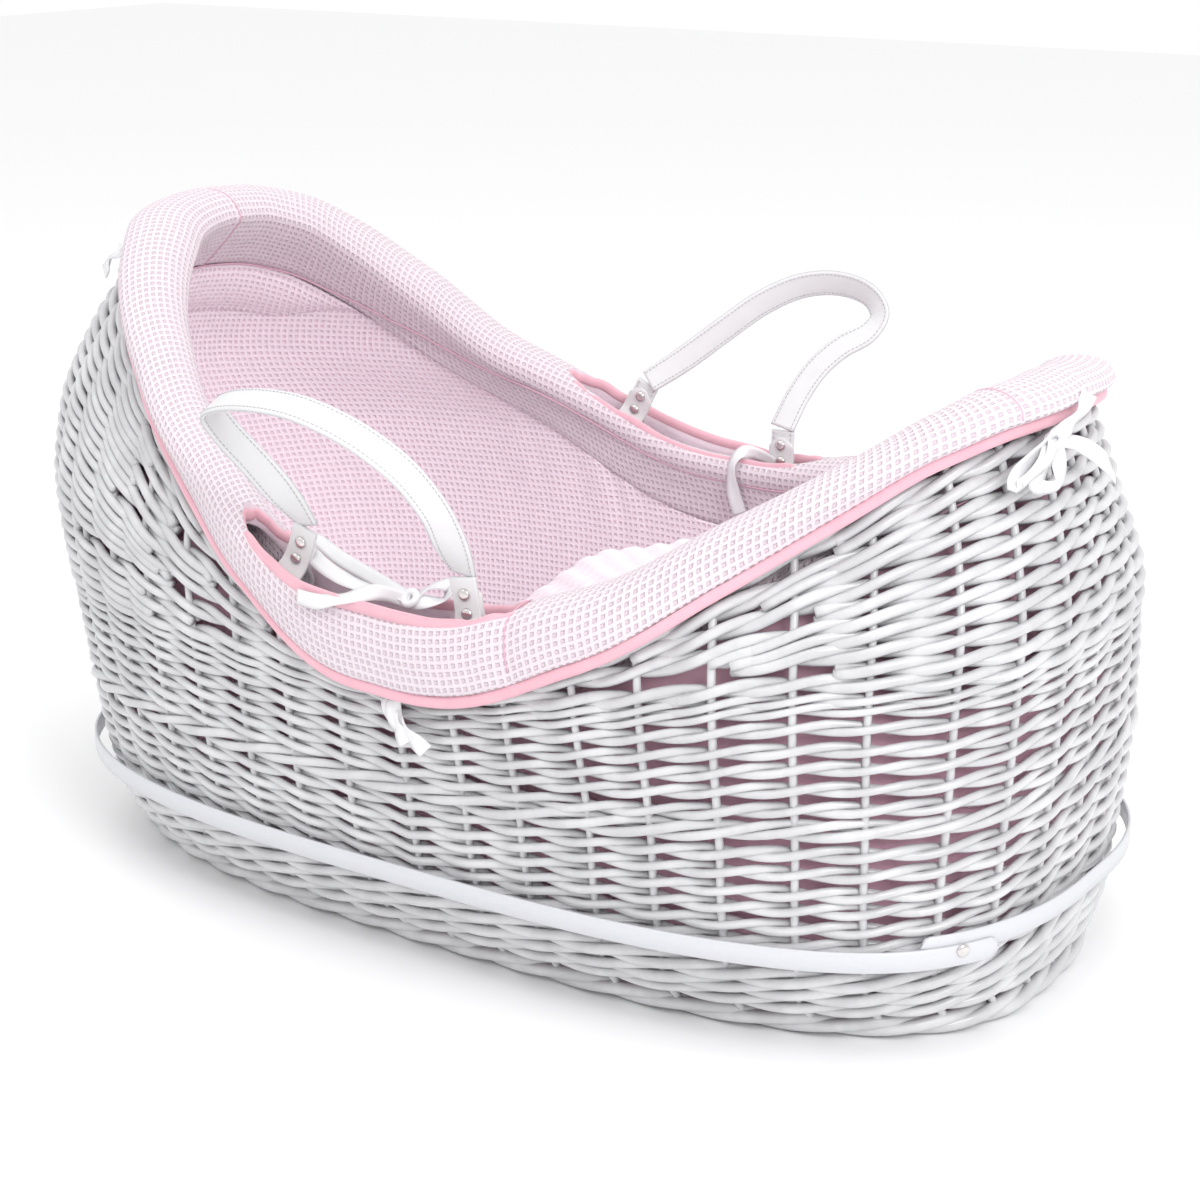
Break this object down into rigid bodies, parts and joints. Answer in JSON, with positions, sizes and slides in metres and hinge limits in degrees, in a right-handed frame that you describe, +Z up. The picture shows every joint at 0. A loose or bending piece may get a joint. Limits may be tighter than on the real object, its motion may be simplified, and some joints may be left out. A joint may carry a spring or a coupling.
{
  "type": "moses basket",
  "caption": "Woven wicker pod cradle with a raised hood, bent wooden band, leather carry handles, padded waffle-cotton dressing, mattress and plump coverlet.",
  "frame": {"origin": "on the floor under the middle of the basket's bounding box", "axes": "+X along the basket from the hood to the foot end, +Y across towards the far handle, +Z up"},
  "size_m": [0.854, 0.6124, 0.485],
  "materials": {
    "wicker": "white gloss paint on willow",
    "band": "white satin paint",
    "leather": "smooth white with grey stitching",
    "steel": "polished",
    "lining": "waffle cotton",
    "waffle": "padded waffle cotton",
    "binding": "plain woven bias tape",
    "mattress": "plain cotton",
    "dimple": "soft dimple plush",
    "ribbon": "satin"
  },
  "bodies": {
    "basket": {"foot_border": "wicker", "woven_base": "wicker", "lower_wall": "wicker", "foot_wall": "wicker", "hood_wall": "wicker", "rim_border": "wicker", "bent_band": "band", "band_rivet": "steel", "near_head_loop": "leather", "near_foot_loop": "leather", "far_head_loop": "leather", "far_foot_loop": "leather", "near_head_rivet_1": "steel", "near_head_rivet_2": "steel", "near_foot_rivet_1": "steel", "near_foot_rivet_2": "steel", "far_head_rivet_1": "steel", "far_head_rivet_2": "steel", "far_foot_rivet_1": "steel", "far_foot_rivet_2": "steel", "cotton_lining": "lining", "hood_valance": "lining", "padded_rim": "waffle", "flap_binding": "binding", "near_slit_binding": "binding", "far_slit_binding": "binding", "near_flap_tie": "ribbon", "far_flap_tie": "ribbon", "near_slit_tie": "ribbon", "far_slit_tie": "ribbon", "foot_tie": "ribbon", "head_tie": "ribbon"},
    "near_handle": {"near_handle_strap": "leather"},
    "far_handle": {"far_handle_strap": "leather"},
    "mattress": {"mattress": "mattress"},
    "coverlet": {"coverlet": "dimple", "coverlet_binding": "binding"}
  },
  "joints": [
    {"name": "near_handle_swing", "type": "hinge", "parent": "basket", "child": "near_handle", "pos_m": [0.01821, -0.23049, 0.30513], "axis": [0.9961, -0.0154, -0.0867], "range_deg": [-78, 36]},
    {"name": "far_handle_swing", "type": "hinge", "parent": "basket", "child": "far_handle", "pos_m": [-0.00616, 0.22955, 0.30878], "axis": [-0.9812, -0.0459, 0.1877], "range_deg": [-78, 36]},
    {"name": "mattress_lift", "type": "slide", "parent": "basket", "child": "mattress", "axis": [0, 0, 1], "range_m": [0, 0.1]},
    {"name": "coverlet_lift", "type": "slide", "parent": "mattress", "child": "coverlet", "axis": [0, 0, 1], "range_m": [0, 0.06]}
  ]
}
